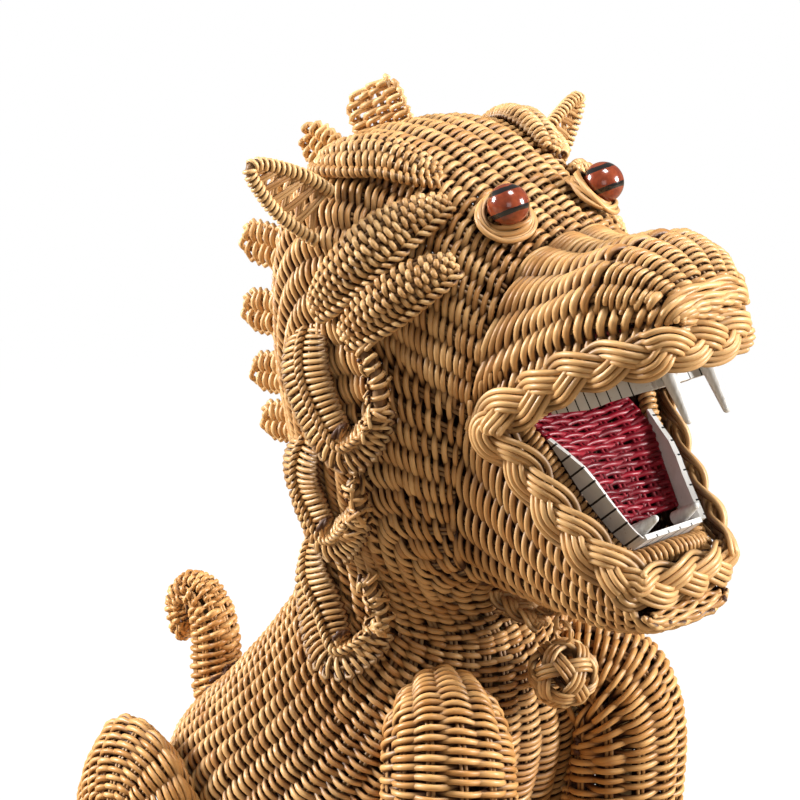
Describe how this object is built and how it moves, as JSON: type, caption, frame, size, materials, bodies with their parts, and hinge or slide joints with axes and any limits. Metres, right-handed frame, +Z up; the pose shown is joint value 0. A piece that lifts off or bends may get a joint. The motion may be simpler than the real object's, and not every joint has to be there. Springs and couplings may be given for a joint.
{
  "type": "lion-dog statue",
  "caption": "Seated wicker lion-dog statue with open toothed mouth, mane curls, crest tabs, hooked tail and an open-work bell swinging under the chin.",
  "frame": {"origin": "middle of the bounding box, on the floor under the statue", "axes": "+Z up, nose toward -Y, the dog's left side toward +X"},
  "size_m": [0.2372, 0.3678, 0.4342],
  "materials": {
    "cane": "bare cane, matt",
    "base_wood": "plain sawn board",
    "nail_steel": "bright wire nail",
    "rattan": "woven reed, clear satin varnish",
    "rattan_honey": "woven reed, clear satin varnish, honey tone",
    "rattan_pale": "woven reed, clear satin varnish, pale straw tone",
    "tooth_paint": "thin board, white paint with fine dark lines",
    "fang_wood": "turned peg, ivory paint",
    "dyed_reed": "woven reed, magenta-red dye",
    "eye_bead": "glossy bead, dark red-brown with black stripes"
  },
  "bodies": {
    "statue": {"base_board": "base_wood", "spine_cane": "cane", "breast_cane": "cane", "muzzle_cane": "cane", "jaw_cane": "cane", "hip_hoop": "cane", "shoulder_hoop": "cane", "neck_hoop": "cane", "leg_cane_right": "cane", "leg_cane_left": "cane", "tail_core": "cane", "frame_nails": "nail_steel", "body_skin": "rattan", "head_skin": "rattan", "muzzle_skin": "rattan", "jaw_skin": "rattan", "foreleg_right": "rattan_honey", "foreleg_left": "rattan_honey", "forepaw_right": "rattan_honey", "forepaw_left": "rattan_honey", "haunch_right": "rattan_honey", "haunch_left": "rattan_honey", "hindpaw_right": "rattan_honey", "hindpaw_left": "rattan_honey", "tail_skin": "rattan_honey", "upper_lip": "rattan_pale", "lower_lip": "rattan_pale", "upper_rim": "rattan", "lower_rim": "rattan", "upper_board_right": "tooth_paint", "upper_board_left": "tooth_paint", "upper_board_front": "tooth_paint", "lower_board_right": "tooth_paint", "lower_board_left": "tooth_paint", "lower_board_front": "tooth_paint", "upper_fangs": "fang_wood", "lower_fangs": "fang_wood", "throat_panel": "dyed_reed", "eye_bead_right": "eye_bead", "eye_bead_left": "eye_bead", "eye_pegs": "cane", "eye_ring_right": "rattan", "eye_ring_left": "rattan", "ear_hoop_right": "rattan_pale", "ear_hoop_left": "rattan_pale", "ear_web_right": "rattan", "ear_web_left": "rattan", "brow_lobe_right": "rattan_pale", "brow_lobe_left": "rattan_pale", "cheek_lobes_right": "rattan_pale", "cheek_lobes_left": "rattan_pale", "mane_curls_right": "rattan_pale", "mane_curls_left": "rattan_pale", "crest_tabs": "rattan_pale", "bell_loop": "rattan_pale"},
    "bell": {"bell_ball": "rattan_pale"}
  },
  "joints": [
    {"name": "bell_swing", "type": "hinge", "parent": "statue", "child": "bell", "pos_m": [0, -0.091, 0.1905], "axis": [1, 0, 0], "range_deg": [-35, 5]}
  ]
}
